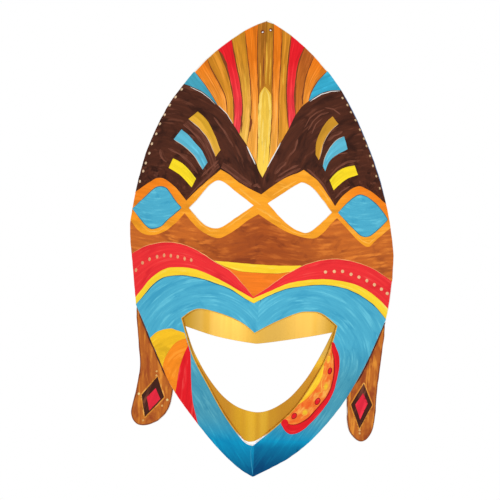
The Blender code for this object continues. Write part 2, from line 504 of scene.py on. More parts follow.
def gilt_material():
    """Satin metallic face on card, with the faint upright grain of rolled foil."""
    material, tree, shader = shader_of("gilt")
    sheen = streaks(tree, 60, 1.2, detail=4, seed=2)
    broad = streaks(tree, 90, 9, detail=2, seed=5)
    tone = node(tree, "ShaderNodeAttribute", attribute_name="tone").outputs["Fac"]
    base = mixed(tree, ranged(tree, broad, 0.35, 0.7), (0.82, 0.46, 0.026), (0.86, 0.50, 0.045))
    # The tone puts painted reflections into the foil's colour: towards 1 a darker brown for dark
    # reflections on the lower flanks, towards -1 a paler tint for the highlight under the lips, towards -2
    # a darker gold for dark reflections in the upper corners and bands.
    base = mixed(tree, tone, base, (0.57, 0.225, 0.028))
    base = mixed(tree, ranged(tree, tone, 0, -1), base, (0.68, 0.405, 0.078))
    base = mixed(tree, ranged(tree, tone, -1, -2), base, (0.60, 0.320, 0.026))
    tree.links.new(base, shader.inputs["Base Color"])
    shader.inputs["Metallic"].default_value = 1.0
    tree.links.new(ranged(tree, sheen, 0.3, 0.7, 0.33, 0.39), shader.inputs["Roughness"])
    bumped(tree, shader, sheen, 0.000004)
    return material


def dab_material(name, colour):
    """Thick dimensional paint, smooth and a little glossy."""
    material, tree, shader = shader_of(name)
    spot = grain(tree, 1.5, detail=2, seed=3)
    base = mixed(tree, ranged(tree, spot, 0.3, 0.7), tuple(0.82 * c for c in colour), colour)
    tree.links.new(base, shader.inputs["Base Color"])
    tree.links.new(ranged(tree, spot, 0.3, 0.7, 0.3, 0.42), shader.inputs["Roughness"])
    return material


# Colours
BROWN, BROWN_LIGHT, BROWN_DARK = (0.088, 0.024, 0.012), (0.17, 0.054, 0.030), (0.034, 0.010, 0.006)
SKY, SKY_LIGHT, SKY_DARK = (0.080, 0.43, 0.61), (0.125, 0.525, 0.69), (0.048, 0.34, 0.53)
# The jaw blue is the sky blue greyed by painted shade; the deepest chin blue is the chin's own deep paint
# darkened further by painted shade.
JAW_SHADED_BLUE, CHIN, CHIN_DEEP_AND_SHADE = (0.068, 0.330, 0.455), (0.003, 0.285, 0.515), (0.0005, 0.065, 0.180)
ORANGE, ORANGE_DEEP, ORANGE_PALE = (0.97, 0.375, 0.020), (0.93, 0.235, 0.010), (0.99, 0.46, 0.06)
YELLOW, YELLOW_BAR = (0.94, 0.69, 0.035), (0.95, 0.70, 0.018)
RED, RED_PINK, RED_DEEP = (0.79, 0.012, 0.020), (0.87, 0.055, 0.07), (0.58, 0.008, 0.013)
TAN, TAN_LIGHT, TAN_DARK = (0.39, 0.080, 0.013), (0.60, 0.148, 0.021), (0.24, 0.044, 0.010)
GOLD_PAINT = (0.70, 0.37, 0.028)
WHITE = (0.90, 0.88, 0.84)

# Outlines of the card, as in the CAD
FACE_RIGHT = smooth([
    (0, 380), (23, 365.5), (50.4, 339.8), (72.5, 307.7), (92, 265.7), (103.4, 230.6), (110, 197),
    (111, 178), (109.5, 151.5), (106.5, 134.5)])
JAW_RIGHT = smooth([
    (106.5, 134.5), (91, 97), (76.5, 69.5), (65, 52.5), (48, 32.5), (28.5, 16), (0, 0)])
JAW_LEFT = smooth([
    (0, 0), (-12, 7), (-29.5, 22.5), (-48, 43.5), (-68, 69.5), (-77.5, 87.5), (-102, 140)])
FACE_LEFT = smooth([
    (-102, 140), (-104.5, 161), (-109, 200), (-107.5, 221), (-102.5, 248.5), (-94.6, 276), (-79.8, 307.7),
    (-58.9, 336.6), (-42, 353.5), (-19, 371), (0, 380)])
EYE_LEFT = ring(smooth([
    (-60.5, 221.5), (-54, 228.5), (-43, 242), (-34.5, 244.8), (-21, 235.6), (-7, 225.4), (-7, 225.4),
    (-21.5, 214.8), (-32.8, 206.8), (-41, 205.9), (-48.9, 209.8), (-60.5, 221.5)]))
EYE_RIGHT = ring(smooth([
    (4.9, 227.6), (14.2, 234.1), (28.3, 243.7), (33.8, 245.6), (43, 240.3), (58.3, 222), (58.3, 222),
    (48.8, 212.1), (40.5, 205.3), (33, 205), (20.7, 211.8), (4.9, 227.6)]))
LIPS = smooth([
    (-63.4, 130), (-54.5, 136.6), (-45, 137.9), (-25.5, 133), (-12, 126.9), (-2.6, 119.5), (-2.6, 119.5),
    (12.5, 128.2), (31.5, 136.8), (42, 138.7), (53, 137.3), (65.7, 127.8)])
MOUTH_RIGHT = smooth([
    (65.7, 127.8), (61.5, 111.5), (53.5, 91.5), (37, 63.5), (22, 46.5), (-1, 26.4)])
MOUTH_LEFT = smooth([
    (-1, 26.4), (-9, 30.3), (-25, 50.6), (-40, 75.5), (-53.5, 100), (-63.4, 130)])
MOUTH = ring(LIPS, MOUTH_RIGHT, MOUTH_LEFT)
EDGE_LEFT = part_of(JAW_LEFT, 0, 140) + FACE_LEFT[1:]
EDGE_RIGHT = part_of(JAW_RIGHT, 0, 134.5) + FACE_RIGHT[::-1][1:]


def round_hole(x, z, r=1.0):
    """The outline of a hanging hole."""
    return [(x + r * math.cos(i * math.pi / 9), z + r * math.sin(i * math.pi / 9))
            for i in range(18)]


def card_edges(front, thick, soft=0.16):
    """Profile of a card with softened cut edges."""
    return [(front, -soft), (front - soft, 0), (front - thick + soft, 0), (front - thick, -soft)]


def film(height, base=0.0):
    """Profile of a paint film: its top this far above the card, its edge run out a little."""
    return [(base + height, -0.05), (base + SUNK, 0.07)]


def drawn(points, closed=False):
    """A smooth line, or a smooth closed outline."""
    return ring(smooth([*points, points[0]])) if closed else smooth(points)


def grown(outline, distance):
    """A closed outline moved outwards by this much."""
    points = np.array(outline, dtype=float)
    way = np.roll(points, -1, axis=0) - np.roll(points, 1, axis=0)
    way /= np.maximum(np.linalg.norm(way, axis=1), 1e-9)[:, None]
    x, z = points[:, 0], points[:, 1]
    turn = np.sum(x * np.roll(z, -1) - np.roll(x, -1) * z)
    out = np.stack([way[:, 1], -way[:, 0]], axis=1) * (1 if turn > 0 else -1)
    return [tuple(p) for p in points + distance * out]


def edge(side, start, end, inset=0.12):
    """The edge of the face sheet between two heights, a little inside it."""
    if side == "left":
        line = shifted(part_of(EDGE_LEFT, min(start, end), max(start, end)), inset)
    else:
        line = shifted(part_of(EDGE_RIGHT, min(start, end), max(start, end)), -inset)
    line = [tuple(p) for p in line]
    return line if start < end else line[::-1]


CARD = -0.15  # the white card under the paint lies this far behind the CAD front
BEHIND = -SHEET - GLUE  # the front of the plate and of the ears
EAR_CARD = BEHIND - 0.05  # the front of the white card of an ear
BASE, SECOND, THIRD, LINES = 0.06, 0.10, 0.14, 0.18

# Cards
card = card_material("primed_card")
face = ring(FACE_RIGHT, JAW_RIGHT, JAW_LEFT, FACE_LEFT)
piece("face_card", [area(face, [EYE_LEFT, EYE_RIGHT, MOUTH, *(round_hole(*h) for h in HOLES)])],
      card_edges(CARD, SHEET + CARD), card, "face_sheet", steady=True, node="face_sheet")

# Lines between the painted areas
BROW = drawn([
    (-106, 233.2), (-94.2, 241.9), (-87.8, 245.6), (-82, 245.2), (-75.2, 240.9), (-69.3, 235.3),
    (-62.8, 227.7), (-62.8, 227.7), (-56.1, 234.9), (-46.4, 244.3), (-35.2, 254.2), (-35.2, 254.2),
    (-28.5, 250.7), (-20, 244.4), (-11.6, 239.7), (-0.8, 234.8), (-0.8, 234.8), (8, 241.8), (19.1, 249.4),
    (29.3, 253.8), (33.7, 256.4), (33.7, 256.4), (38.2, 253.2), (45.4, 248), (53.1, 238.5), (60.8, 227.2),
    (60.8, 227.2), (65.9, 234.9), (72.2, 240.7), (78.5, 244.1), (84, 243.5), (92.3, 239.1), (103.2, 230.6)])
CHEEK = drawn([
    (-108.3, 209.4), (-103.5, 202.9), (-98.4, 199.2), (-92, 198), (-85, 199.3), (-77.8, 203.1),
    (-70, 209.9), (-63.9, 217.2), (-63.9, 217.2), (-57.2, 209.5), (-50.1, 203.3), (-41.5, 198.7),
    (-33.6, 197.7), (-25.8, 201.7), (-17.9, 207.4), (-10.3, 213.6), (-2.5, 218.4), (-2.5, 218.4),
    (6.8, 212.5), (19, 205.6), (31.1, 201.2), (39.2, 199.8), (46.2, 200.4), (52.7, 205.9), (58, 212.5),
    (62.6, 217.4), (62.6, 217.4), (66.6, 213.6), (75, 205.1), (83, 197.5), (89.8, 194.4), (95.2, 199.5),
    (101.4, 205.2), (107.6, 210.6)])
RED_LEFT = drawn([
    (-107, 182.1), (-97.2, 188.1), (-85.6, 191.8), (-74.2, 192.7), (-63, 190.9), (-53.2, 187),
    (-45.2, 182.6), (-38.3, 178.1), (-24.3, 170.5), (-14.4, 160.8), (-4.6, 149.8)])
GOLD_LEFT = drawn([
    (-102.6, 146.1), (-97.3, 153), (-90.1, 162.4), (-79, 170.3), (-67.4, 172.3), (-54, 171.1),
    (-40.7, 166.6), (-27.3, 160.3), (-17.2, 154.8), (-4.6, 148.4)])
SKY_TOP_LEFT = drawn([
    (-101.8, 140.3), (-94.6, 148.9), (-86.7, 158.3), (-77.1, 163.9), (-63.8, 165.4), (-50.4, 163.7),
    (-37.1, 160), (-23.8, 155.4), (-10.6, 147.5), (-3.9, 144.4)])
RED_RIGHT = drawn([
    (-4.6, 149.8), (7.5, 158.1), (18.9, 166.9), (31.7, 174.8), (44.8, 180.3), (61, 183.4), (77.7, 181.7),
    (94.6, 176.1), (110.3, 166.4)])
GOLD_RIGHT = drawn([
    (-4.6, 148.6), (9.2, 154.9), (22.4, 161.2), (35.4, 164.4), (51.8, 166.3), (68.2, 165.2),
    (85.1, 160.8), (98.8, 152), (107.9, 143.4)])
SKY_TOP_RIGHT = drawn([
    (-3.9, 144.4), (9.4, 151.5), (22.6, 157), (37.2, 160), (53.7, 161.4), (70.1, 159.4), (83.7, 154),
    (95.6, 146.1), (106.1, 134.9)])
FAN = [drawn(line) for line in (
    [(-59.2, 334.6), (-50.1, 323.7), (-43.6, 314.4), (-39.4, 307.4)],
    [(-49.5, 345.9), (-45.4, 337.1), (-37.8, 324.1), (-33, 313.9), (-31.3, 300.6)],
    [(-40.9, 353.9), (-34.9, 342.7), (-30, 328.2), (-26.3, 310), (-25.7, 292)],
    [(-29.8, 362.9), (-25.2, 342.2), (-21.1, 324.7), (-18.7, 305.5), (-20.6, 284)],
    [(-19.1, 370.4), (-15.1, 342.5), (-12.7, 323.2), (-11.6, 301.3), (-14, 275)],
    [(-8.3, 376.2), (-7.9, 349.9), (-6.7, 327.9), (-5.4, 305.9), (-5.1, 259.3)],
    [(4.8, 377), (5.2, 350.3), (5.2, 323.8), (5.8, 297.7), (4.2, 260)],
    [(11.9, 372.6), (11.9, 350.5), (11.1, 324), (11.5, 297.9), (11.3, 273.5)],
    [(19.6, 367.7), (17.9, 346.2), (17.2, 324.2), (18.2, 306.7), (20.2, 290)],
    [(31, 358.6), (26.6, 344.8), (24.5, 328.9), (24.1, 315.8), (25.4, 301.7)],
    [(39.1, 351), (33.9, 337.1), (31.6, 324.7), (30.4, 308.9)],
    [(50.3, 338.9), (42.9, 330.4), (37.9, 321.3), (35.7, 313.5)])]
WEDGE_LEFT = drawn([(-67.6, 324.5), (-57.4, 320.8), (-49.7, 316.5), (-39.4, 307.4)])
WEDGE_RIGHT = drawn([(35.7, 313.5), (46.7, 320.8), (54.6, 323.1), (62.3, 323.6)])

# Paints
brown = paint("brown", BROWN, light=BROWN_LIGHT, dark=BROWN_DARK, lights=0.28, darks=0.6,
              along=26, across=2.4, seed=1)
orange = paint("orange", ORANGE, ORANGE_DEEP, light=ORANGE_PALE, seed=2, lights=0.3)
tan = paint("light_brown", TAN, TAN_LIGHT, light=(0.50, 0.120, 0.020), dark=TAN_DARK, lights=0.5,
            darks=0.5, along=22, across=2.8, seed=3)
red = paint("red", RED, RED_PINK, light=(0.88, 0.10, 0.09), dark=RED_DEEP, seed=4, lights=0.25)
yellow = paint("yellow", YELLOW, GOLD_PAINT, light=(0.95, 0.78, 0.20), dark=(0.86, 0.46, 0.012),
               seed=5)
band_red = paint("band_red", (0.87, 0.034, 0.038), light=(0.92, 0.10, 0.085),
                 dark=(0.66, 0.015, 0.024), seed=7, lights=0.3)
sky = paint("sky_blue", SKY, JAW_SHADED_BLUE, (CHIN, CHIN_DEEP_AND_SHADE), light=SKY_LIGHT, dark=SKY_DARK,
            lights=0.5, darks=0.5, seed=6, along=30, across=1.8)


def put(name, shapes, material, level, **more):
    """A paint film on the face sheet, this far above its white card."""
    return piece(name, shapes if isinstance(shapes, list) else [shapes], film(level, CARD),
                 material, "face_sheet", **more)


def downwards(top, over):
    """A tone that goes from 0 at this height to 1 this far below it."""
    return lambda x, z: float(np.clip((top - z) / over, 0, 1))


# Forehead
put("brown_forehead",
    area(ring(edge("left", 233.4, 334), edge("right", 334, 230.8), BROW[::-1])),
    brown, BASE, strokes=around(85, 235, True))

# Orange band round the eyes
put("orange_band",
    area(ring(CHEEK[::-1], edge("left", 209.6, 233), BROW, edge("right", 230.4, 210.8)),
         [grown(EYE_LEFT, 0.18), grown(EYE_RIGHT, 0.18)]),
    orange, SECOND, strokes=waved,
    tone=lambda x, z: float(np.clip((abs(x) - 55) / 25, 0, 1) * np.clip((z - 205) / 20, 0, 1)))

# Light brown cheeks and nose
put("light_brown_cheeks",
    area(ring(CHEEK, edge("right", 210.4, 166.6), RED_RIGHT[::-1], RED_LEFT[::-1],
              edge("left", 182.4, 209.2))),
    tan, BASE, strokes=waved, tone=lambda x, z: float(np.clip(
        0.3 + (abs(x) - 30) / 60 + (z - 195) / 50, 0, 1)))

# Bands across the cheeks
put("red_band_left", band(RED_LEFT, GOLD_LEFT), band_red, SECOND)
put("red_band_right", band(RED_RIGHT, GOLD_RIGHT), band_red, SECOND)
put("yellow_band_left", band(GOLD_LEFT, SKY_TOP_LEFT), yellow, THIRD)
put("yellow_band_right", band(GOLD_RIGHT, SKY_TOP_RIGHT), yellow, THIRD)
put("nose_strip",
    band(drawn([(-38.6, 178.6), (-24.5, 177.9), (-4.9, 176.8), (15.2, 176.4), (35, 177)]),
         drawn([(-32.8, 175.6), (-17.7, 170.9), (-1.3, 169.8), (15.4, 169.8), (27.9, 172.2)])),
    yellow, THIRD)
put("nose_triangle",
    area(ring(drawn([(-32.8, 175.4), (-17.7, 170.7), (-1.3, 169.6), (15.4, 169.6),
                     (27.9, 172.2)]),
              drawn([(27.9, 172.2), (18.9, 166.7), (7.5, 157.9), (-4.6, 149.6)]),
              drawn([(-4.6, 149.6), (-14.4, 160.6), (-24.3, 170.3), (-32.8, 175.4)]))),
    paint("nose_orange", (0.91, 0.205, 0.014), seed=8, lights=0.2), THIRD - 0.02,
    strokes=straight(0))

# Blue cheeks, jaw and chin. The tone greys the blue down the jaw, painted shade where the sheet turns from
# the light; deepens it at the chin, partly the chin's deeper paint and partly painted shade of the chin
# tilting back; and darkens the right facet of the chin a little more with painted shade.
put("blue_jaw",
    area(ring(SKY_TOP_LEFT, SKY_TOP_RIGHT, edge("right", 134.3, 0.8), [(0, 0.4)],
              edge("left", 0.8, 140)), [grown(MOUTH, 0.18)]),
    sky, BASE, strokes=lips_and_jaw,
    tone=lambda x, z: float(np.clip((112 - z) / 30, 0, 1) + np.clip((53 - z) / 27, 0, 1)
                            + np.clip((32 - z) / 40, 0, 1)
                            + np.clip((32 - z) / 12, 0, 0.3) * (x > 0.3)))

# Paint run round the cut edge of the mouth, left white at the chin
edge_ochre = paint("edge_ochre", (0.70, 0.38, 0.040), WHITE, light=(0.85, 0.55, 0.10), seed=9,
                   along=14, across=1.2)
piece("mouth_edge_paint", [area(grown(MOUTH, 0.06), [grown(MOUTH, -0.26)])],
      [(CARD + 0.03, -0.04), (CARD - SHEET + 0.16, -0.04)], edge_ochre, "face_sheet", steady=True,
      tone=downwards(37, 4))
put("mouth_rim_paint", area(grown(MOUTH, 0.42), [grown(MOUTH, -0.2)]), edge_ochre, BASE + 0.02,
    steady=True, tone=downwards(37, 4))

# Fan of stripes over the forehead
def fan_paint(name, top, foot, seed):
    """Fan stripes have many fine streaks and grow lighter and paler towards the nose, partly in their paint
    and partly as a painted highlight where the forehead faces the light.
    """
    return paint(name, top, foot, light=tuple(min(1, 1.25 * c + 0.01) for c in top),
                 dark=tuple(0.66 * c for c in top), lights=0.5, darks=0.55, across=1.5, along=60,
                 seed=seed)


fan_orange = fan_paint("fan_orange", (0.87, 0.205, 0.008), (0.95, 0.40, 0.05), 11)
fan_gold = fan_paint("fan_gold_brown", (0.60, 0.225, 0.014), (0.76, 0.31, 0.026), 12)
fan_brown = fan_paint("fan_brown", (0.50, 0.120, 0.015), (0.66, 0.21, 0.02), 13)
fan_yellow = fan_paint("fan_gold", (0.68, 0.275, 0.018), (0.82, 0.46, 0.07), 14)
fan_red = fan_paint("fan_red", RED, RED_PINK, 10)
centre_left = fan_paint("centre_brown", (0.46, 0.160, 0.013), (0.50, 0.165, 0.016), 15)
centre_right = fan_paint("centre_gold", (0.51, 0.205, 0.014), (0.55, 0.235, 0.020), 16)
# The tone lightens each stripe towards the nose, partly in the paint and partly as painted highlight.
for name, i, material in (
        ("orange_1", 0, fan_orange), ("gold_brown_1", 1, fan_gold), ("red_1", 2, fan_red),
        ("gold_1", 3, fan_yellow), ("orange_2", 4, fan_orange), ("orange_3", 6, fan_orange),
        ("gold_brown_2", 7, fan_gold), ("red_2", 8, fan_red), ("brown_1", 9, fan_brown),
        ("orange_4", 10, fan_orange)):
    put("fan_" + name, band(FAN[i], FAN[i + 1]), material, SECOND + 0.02 * (i % 2),
        tone=downwards(346, 64))
middle = drawn([(-1, 380), (-1, 350), (-0.8, 324), (-0.4, 262)])
middle[0] = (-1.5, 378.6)
put("fan_centre_left", area(ring(middle[::-1], FAN[5]), [round_hole(*HOLES[0], 1.2)]),
    centre_left, SECOND + 0.02, strokes=straight(90))
put("fan_centre_right", area(ring(middle, FAN[6][::-1]), [round_hole(*HOLES[1], 1.2)]),
    centre_right, SECOND, strokes=straight(90))
# The flame grows paler towards the nose, partly in its paint and partly as a painted highlight.
put("fan_flame",
    band(drawn([(-1, 324.4), (-3.4, 321.4), (-5.3, 317.4), (-6, 311), (-5.9, 300), (-5.4, 285),
                (-5.3, 260), (-0.4, 248.8)]),
         drawn([(-1, 324.4), (2.2, 321.4), (4.7, 317.4), (5.6, 311), (5.8, 300), (5.8, 285),
                (4.8, 262), (-0.4, 248.8)])),
    paint("flame", (0.88, 0.53, 0.052), (0.94, 0.62, 0.08), seed=17), THIRD + 0.02,
    tone=downwards(324, 70))
put("wedge_left",
    area(ring(WEDGE_LEFT[::-1], edge("left", 324.6, 334.8), FAN[0])),
    paint("wedge_blue_left", (0.055, 0.345, 0.47), seed=18), SECOND + 0.02,
    strokes=straight(-48))
put("wedge_right",
    area(ring(WEDGE_RIGHT, edge("right", 323.8, 338.8), FAN[11])),
    paint("wedge_blue_right", (0.035, 0.39, 0.585), seed=19), SECOND + 0.02,
    strokes=straight(25))

# Bars on the forehead
BARS = {
    "gold_left": ([(-63.4, 295.4), (-54.6, 288.6), (-47.6, 280.6), (-43.2, 272.5), (-39.6, 264.8)],
                  [(-55.9, 302), (-49.9, 297.1), (-44.6, 289.8), (-39.2, 278.6), (-36, 270.4)]),
    "blue_left": ([(-75.1, 278.2), (-66.3, 272.7), (-58, 265.4), (-50.2, 253.7)],
                  [(-68.9, 286.8), (-62.7, 282), (-57.5, 276.3), (-51.5, 269.8), (-46.4, 260)]),
    "yellow_left": ([(-78.4, 254.4), (-69.7, 249.3), (-62.9, 243), (-58.8, 238.9)],
                    [(-75.1, 262.4), (-68.4, 259.2), (-61.6, 253.6), (-55.4, 246.1)]),
    "gold_right": ([(61.4, 295.6), (54.6, 289), (49.4, 279.1), (47.6, 270.3), (45.9, 264.8)],
                   [(56.1, 301.6), (51.8, 297.6), (47.3, 290.3), (43.6, 280.6), (43, 269.3)]),
    "blue_right": ([(69.6, 274.8), (62.4, 270.8), (55.4, 265.1), (51.5, 255.9)],
                   [(66.3, 285.5), (61.2, 282.8), (55.8, 277), (51.2, 268), (49.5, 260)]),
    "yellow_right": ([(79, 253.8), (70.2, 250.3), (64, 245.3), (59, 240.3)],
                     [(75.9, 261.6), (68.4, 259.8), (61.3, 255.6), (55.4, 248.6)])}
bar_blue = paint("bar_blue", (0.11, 0.48, 0.64), seed=22)
bar_yellow = paint("bar_yellow", YELLOW_BAR, seed=23)
for name, material in (
        ("gold_left", paint("bar_gold_left", (0.66, 0.35, 0.022), (0.72, 0.38, 0.040), seed=21)),
        ("blue_left", bar_blue), ("yellow_left", bar_yellow),
        ("gold_right", paint("bar_gold_right", (0.62, 0.295, 0.022), seed=24)),
        ("blue_right", bar_blue), ("yellow_right", bar_yellow)):
    outer, inner = BARS[name]
    put("bar_" + name, band(drawn(outer), drawn(inner)), material, THIRD,
        tone=downwards(284, 12))

# Diamonds at the temples
DIAMOND_LEFT = drawn([
    (-107.5, 219.5), (-101, 226), (-93.2, 233.8), (-87.2, 238.5), (-80.5, 237.9), (-76.4, 233.6),
    (-71.3, 226.5), (-66.4, 221.7), (-66.4, 221.7), (-73.4, 215.3), (-79.5, 209.6), (-83.6, 205.2),
    (-91.3, 203.3), (-96.3, 206.5), (-102.2, 213)], closed=True)
DIAMOND_RIGHT = drawn([
    (63.5, 221.9), (68.6, 227.9), (74.9, 234), (80, 237.2), (85.9, 236.4), (91.6, 232.9), (98.3, 226.7),
    (105.2, 217.7), (105.2, 217.7), (98.8, 210.5), (93.4, 205.7), (89.5, 203), (83.7, 203.1),
    (78.1, 207.6), (71.6, 213.8)], closed=True)
put("diamond_left", area(DIAMOND_LEFT), sky, THIRD, strokes=around(-87, 260))
put("diamond_right", area(DIAMOND_RIGHT), sky, THIRD, strokes=around(84, 262))

# Stripes on the left of the jaw, from the mouth to the edge
JAW_LINES = [drawn([*line, part_of(EDGE_LEFT, foot, foot + 1)[0]]) for line, foot in (
    ([(-60.6, 118.1), (-67.8, 120.1), (-73.2, 121.2), (-83.1, 118.3)], 112.6),
    ([(-59, 113.4), (-66.2, 110.8), (-71.5, 105.1), (-76.1, 96.6)], 88.6),
    ([(-57.2, 107.7), (-60.2, 100.7), (-64, 88), (-65.9, 74.1)], 67.8),
    ([(-55.2, 101.5), (-54.3, 88.4), (-53.5, 74.5), (-51.9, 60.9)], 42.2))]
for name, i, material in (("yellow", 0, paint("jaw_yellow", (0.93, 0.53, 0.018), seed=31)),
                          ("orange", 1, paint("jaw_orange", (0.95, 0.265, 0.014), seed=32)),
                          ("red", 2, red)):
    put("jaw_" + name,
        area(ring(JAW_LINES[i], edge("left", JAW_LINES[i][-1][1], JAW_LINES[i + 1][-1][1]),
                  JAW_LINES[i + 1][::-1])),
        material, SECOND + 0.02 * i, strokes=(around(-62, 84), around(-48, 76), straight(86))[i])

# Crescent on the right of the jaw
CRESCENT_OUT = drawn([
    (62.6, 114.4), (65.8, 109.8), (68.7, 100.9), (68.6, 92.5), (66.9, 82.4), (64.7, 73.1), (60.8, 64.7),
    (55.6, 57), (48.3, 48.3), (41.5, 41.4), (34.9, 37.5), (29.4, 36.8), (25.2, 39.7), (22.3, 44.7)])
CRESCENT_IN = drawn([
    (61.6, 110.8), (62.4, 107.4), (64.1, 99.9), (64.6, 90.7), (63.4, 81), (60.7, 71.8), (55.4, 63.6),
    (49, 55.9), (43.2, 49.4), (34.7, 45.1), (28.2, 45.2), (25.4, 48.6)])
put("crescent_orange",
    band(CRESCENT_IN[2:], [tuple(p) for p in shifted(part_of(MOUTH_RIGHT, 111, 48.8), -0.22)]),
    paint("crescent_orange", (0.90, 0.22, 0.03), light=(0.92, 0.42, 0.08),
          dark=(0.80, 0.10, 0.015), lights=0.7, darks=0.6, along=16, across=3, seed=33), SECOND)
put("crescent_red", band(CRESCENT_OUT, CRESCENT_IN), red, THIRD)
deep_red = paint("deep_red", (0.34, 0.010, 0.012), seed=34)
put("crescent_ends", [oval(63.4, 111.4, 1.6, 3.0, 20), oval(25, 45.8, 2.9, 3.3, -30)], red,
    THIRD + 0.01)
heart_edge = [tuple(p) for p in shifted(part_of(MOUTH_RIGHT, 96, 61.5), -0.2)]
put("crescent_sliver",
    band(heart_edge, drawn([heart_edge[0], (55, 86), (50.4, 76.4), (43.4, 67.6),
                            heart_edge[-1]])),
    paint("crescent_yellow", (0.93, 0.60, 0.03), dark=(0.90, 0.45, 0.02), seed=35), THIRD)
put("crescent_oval_rims", [oval(61.1, 90.3, 1.9, 3.0, -15), oval(51.6, 64.7, 2.2, 3.2, -28),
                           oval(32.7, 52, 2.2, 2.9, -35)], deep_red, THIRD + 0.02)
put("crescent_ovals", [oval(61, 90.4, 1.2, 2.3, -15), oval(51.5, 64.8, 1.5, 2.5, -28),
                       oval(32.6, 52.1, 1.5, 2.2, -35)], red, LINES)
put("crescent_yellow_rims",
    [oval(58.2, 77.2, 2.5, 4.2, -12), oval(41.5, 55.3, 2.7, 3.2, -40),
     oval(59.6, 100.4, 1.8, 4.2, -8), ribbon([(57, 88), (54, 80), (55, 73), (50, 70)], 1.2)],
    paint("crescent_pale", (0.92, 0.36, 0.045), seed=36, along=8, across=1.5), THIRD)
put("crescent_yellow_dabs",
    [oval(58.2, 77.2, 1.4, 2.7, -12), oval(41.5, 55.3, 1.7, 2.0, -40),
     oval(59.6, 100.4, 1.1, 2.6, -8)],
    paint("crescent_gold", (0.90, 0.52, 0.03), seed=37), THIRD + 0.02)
put("crescent_inner_line", [ribbon(CRESCENT_IN[2:-2], 0.9)], deep_red, LINES + 0.02)

# Mouth plate
def gilt_reflection_tone(x, z):
    """Painted reflections of the foil, as a tone. It runs from 0 to 1 towards the flanks, a darker brown
    for painted dark reflections low on the plate, and from -1 to -2 under the lips, where a paler tint
    stands for the painted highlight it catches, towards darker corners and a few upright bands of
    painted dark reflection."""
    flank = 0.1 + np.clip((abs(x + 1) - 10) / 18, 0, 0.65)
    flank += sum(0.3 * math.exp(-((x - at) / 2.6) ** 2) for at in (-10, 3, 13))
    low = flank * np.clip((112 - z) / 25, 0, 1)
    bands = sum(much * math.exp(-((x - at) / wide) ** 2) for at, wide, much in (
        (-62, 10, 0.5), (-43, 3.2, 0.45), (-24, 5, 0.12), (-4, 12, 0.25), (26, 4, 0.12),
        (48, 3, 0.25), (62, 7, 0.4)))
    high = -1 - min(1, 1.6 * bands)
    lift = np.clip((z - 90) / 20, 0, 1)
    return float(low * (1 - lift) + high * lift)


gilt = gilt_material()
smile = ring(smooth([
    (-60.9, 123.4), (-34.5, 115.8), (-6, 111.3), (6, 111.6), (42.5, 117.9), (62.7, 122.2), (62.7, 122.2),
    (57, 109.6), (50.5, 97), (43, 84), (33, 71), (24, 62.6), (12.5, 55.9), (1.5, 53.7), (-11, 56),
    (-21, 61), (-30.6, 69.3), (-40.6, 81.7), (-48, 93.5), (-54.5, 106), (-60.9, 123.4)]))
plate = ring(smooth([(-75, 129), (-66, 142), (-46, 148), (-24, 143), (-2.6, 132), (12, 138),
                     (34, 148), (50, 148), (67, 139), (77, 124)]),
             smooth([(77, 124), (72, 106), (63, 86), (46, 57), (33, 45.5), (20, 42),
                     (10, 35.3), (1.5, 30), (-5, 28.8)]),
             smooth([(-5, 28.8), (-11, 31.5), (-24, 40), (-36, 56), (-51, 80), (-65, 105),
                     (-75, 129)]))
piece("gold_plate", [area(plate, [smile])], card_edges(BEHIND, PLATE, 0.12), gilt, "lip_plate",
      strokes=straight(90), steady=True, node="lip_plate", tone=gilt_reflection_tone)

# Ears
EAR_LEFT = ring(smooth([(-98, 147), (-102.4, 136), (-99.8, 108), (-98, 89), (-100.5, 69.5),
                        (-104.3, 50), (-100, 40.7), (-92.5, 39.2), (-82.5, 42.7),
                        (-75.5, 49.3), (-71.3, 58), (-69.5, 70.5)]),
                smooth([(-69.5, 70.5), (-59, 73), (-67, 92), (-79, 117), (-90, 142),
                        (-98, 147)]))
EAR_RIGHT = ring(smooth([(101, 146), (106.8, 130), (104.8, 102), (102.4, 77), (101.3, 54),
                         (99.5, 41.5), (94, 33), (87.5, 32), (80.8, 38.5), (78, 46.5),
                         (77.2, 58.5), (76.7, 68.5)]),
                 smooth([(76.7, 68.5), (66.5, 72.5), (80, 100), (93, 134), (101, 146)]))
ear_paint = paint("ear_brown", (0.56, 0.16, 0.022), (0.42, 0.085, 0.018),
                  light=(0.77, 0.28, 0.036), dark=(0.32, 0.06, 0.015), lights=0.5, darks=0.5,
                  along=30, across=2.4, seed=41)
frame_paint = paint("ear_frame_brown", (0.060, 0.017, 0.011), light=(0.20, 0.06, 0.035), seed=42)
halo_paint = paint("ear_halo", (0.72, 0.26, 0.034), light=(0.90, 0.44, 0.10), seed=45)
pink_red = paint("ear_red", (0.80, 0.022, 0.050), seed=44)
frame_edge = paint("ear_edge_brown", (0.26, 0.060, 0.016), light=(0.45, 0.13, 0.03), seed=43)
